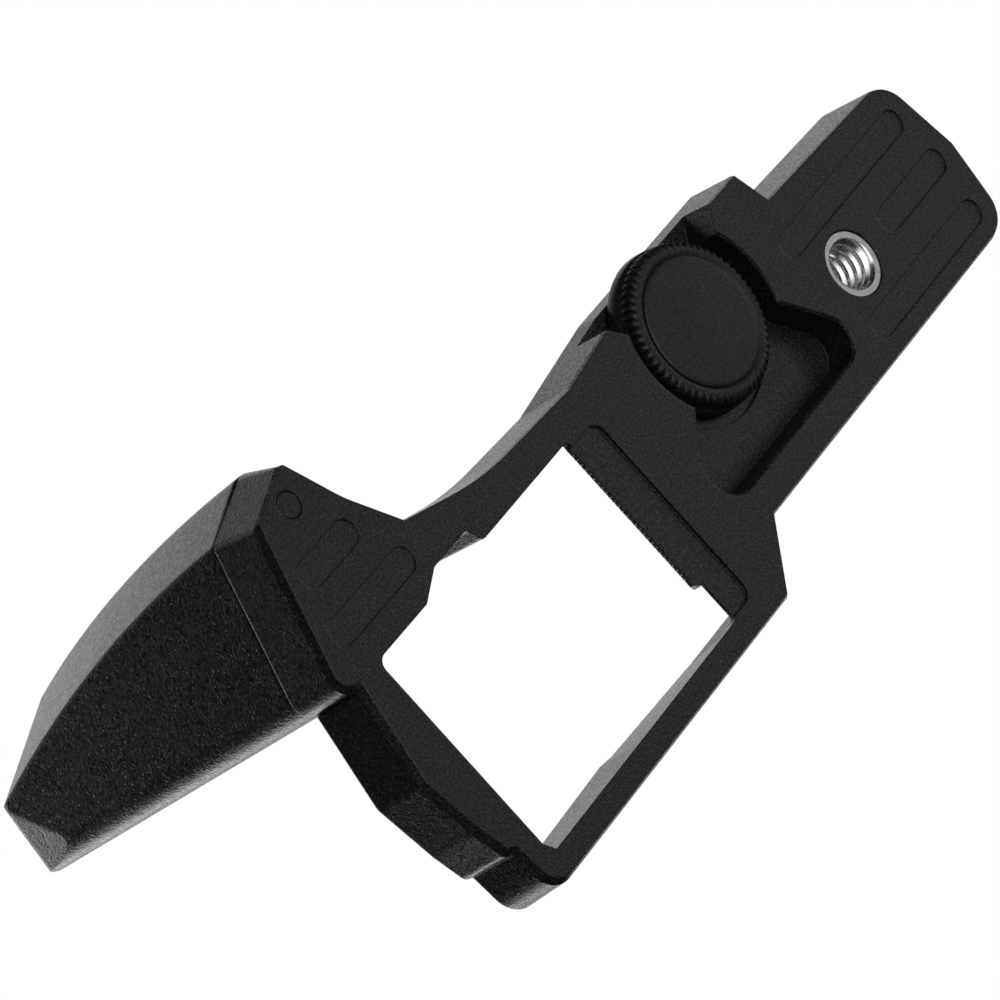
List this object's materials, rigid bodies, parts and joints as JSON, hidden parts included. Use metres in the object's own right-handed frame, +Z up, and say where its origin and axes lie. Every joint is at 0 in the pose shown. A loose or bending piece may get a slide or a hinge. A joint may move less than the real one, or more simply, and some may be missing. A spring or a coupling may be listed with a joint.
{
  "type": "camera base plate with hand grip",
  "caption": "Camera base plate with an upright front grip, a captive knurled thumbscrew, an open battery window and a tripod socket.",
  "frame": {"origin": "mouth of the tripod socket, in the plane of the underside", "axes": "+X along the bar towards its free end, +Y towards the back of the camera, +Z up through the plate to the camera"},
  "size_m": [0.1125, 0.0489, 0.057],
  "materials": {
    "coated_plate": "fine textured black coat",
    "coated_grip": "coarser textured black coat",
    "coated_plug": "black coat",
    "dark_steel": "black oxide",
    "stainless": "bright turned stainless",
    "knob_coat": "fine matte black coat",
    "knob_cap_coat": "fine matte black coat",
    "screw_steel": "turned stainless",
    "spring_steel": "spring steel",
    "washer_nylon": "natural nylon",
    "pad_rubber": "thin matt rubber"
  },
  "bodies": {
    "plate": {"base_plate": "coated_plate", "grip_shell": "coated_grip", "grip_rear_screws": "dark_steel", "grip_base_screw": "dark_steel", "grip_screw_plug": "coated_plug", "tripod_insert": "stainless", "screw_pad": "pad_rubber", "end_pad": "pad_rubber", "grip_pad": "pad_rubber", "locating_pin": "screw_steel"},
    "clip_carrier": {"retaining_clip": "spring_steel", "thrust_washer": "washer_nylon"},
    "thumbscrew": {"thumbscrew_knob": "knob_coat", "thumbscrew_cap": "knob_cap_coat", "camera_screw": "screw_steel"}
  },
  "joints": [
    {"name": "screw_float", "type": "slide", "parent": "plate", "child": "clip_carrier", "axis": [0, 0, -1], "range_m": [0, 0.0011]},
    {"name": "screw_spin", "type": "hinge", "parent": "clip_carrier", "child": "thumbscrew", "pos_m": [-0.0212, -0.0083, 0.002], "axis": [0, 0, 1], "continuous": true}
  ]
}
